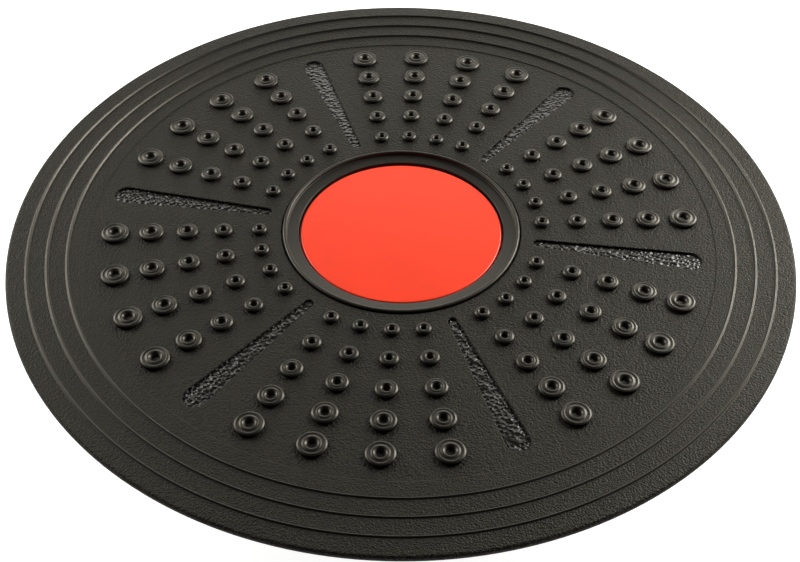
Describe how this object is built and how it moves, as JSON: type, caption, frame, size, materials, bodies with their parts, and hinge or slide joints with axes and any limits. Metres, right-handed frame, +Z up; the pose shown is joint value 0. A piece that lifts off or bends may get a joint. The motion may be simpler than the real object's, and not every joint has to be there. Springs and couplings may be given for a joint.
{
  "type": "balance board",
  "caption": "Round textured standing deck that turns on a ball bearing above a rocking dome, for balance training.",
  "frame": {"origin": "centre of the foot pad's flat underside, on the floor", "axes": "+Z up along the board's axis; +X to the board's right, +Y to its far side"},
  "size_m": [0.36, 0.36, 0.076],
  "materials": {
    "deck_plastic": "fine moulded grain, satin",
    "hub_plastic": "smooth, semi-gloss",
    "cap_plastic": "smooth, semi-gloss red",
    "rocker_plastic": "fine moulded grain",
    "foot_rubber": "matt",
    "race_steel": "turned",
    "cage_plastic": "natural nylon",
    "ball_steel": "polished",
    "screw_steel": "zinc plated"
  },
  "bodies": {
    "rocker": {"foot_pad": "foot_rubber", "dome": "rocker_plastic", "base_plate": "rocker_plastic", "lower_race": "race_steel", "hub_flange": "hub_plastic", "centre_cap": "cap_plastic", "plate_screw_1": "screw_steel", "plate_screw_2": "screw_steel", "plate_screw_3": "screw_steel", "plate_screw_4": "screw_steel", "plate_screw_5": "screw_steel", "plate_screw_6": "screw_steel", "lower_race_screw_1": "screw_steel", "lower_race_screw_2": "screw_steel", "lower_race_screw_3": "screw_steel", "lower_race_screw_4": "screw_steel", "lower_race_screw_5": "screw_steel", "lower_race_screw_6": "screw_steel", "hub_screw_1": "screw_steel", "hub_screw_2": "screw_steel", "hub_screw_3": "screw_steel", "hub_screw_4": "screw_steel", "hub_screw_5": "screw_steel", "hub_screw_6": "screw_steel"},
    "ball_carrier": {"ball_cage": "cage_plastic", "ball_1": "ball_steel", "ball_2": "ball_steel", "ball_3": "ball_steel", "ball_4": "ball_steel", "ball_5": "ball_steel", "ball_6": "ball_steel", "ball_7": "ball_steel", "ball_8": "ball_steel", "ball_9": "ball_steel", "ball_10": "ball_steel", "ball_11": "ball_steel", "ball_12": "ball_steel"},
    "turntable": {"deck": "deck_plastic", "upper_race": "race_steel", "upper_race_screw_1": "screw_steel", "upper_race_screw_2": "screw_steel", "upper_race_screw_3": "screw_steel", "upper_race_screw_4": "screw_steel", "upper_race_screw_5": "screw_steel", "upper_race_screw_6": "screw_steel"}
  },
  "joints": [
    {"name": "deck_spin", "type": "hinge", "parent": "rocker", "child": "turntable", "pos_m": [0, 0, 0.0632], "axis": [0, 0, 1], "continuous": true},
    {"name": "cage_spin", "type": "hinge", "parent": "rocker", "child": "ball_carrier", "pos_m": [0, 0, 0.0632], "axis": [0, 0, 1], "continuous": true}
  ],
  "couplings": [
    {"joint": "cage_spin", "follows": "deck_spin", "ratio": 0.5}
  ]
}
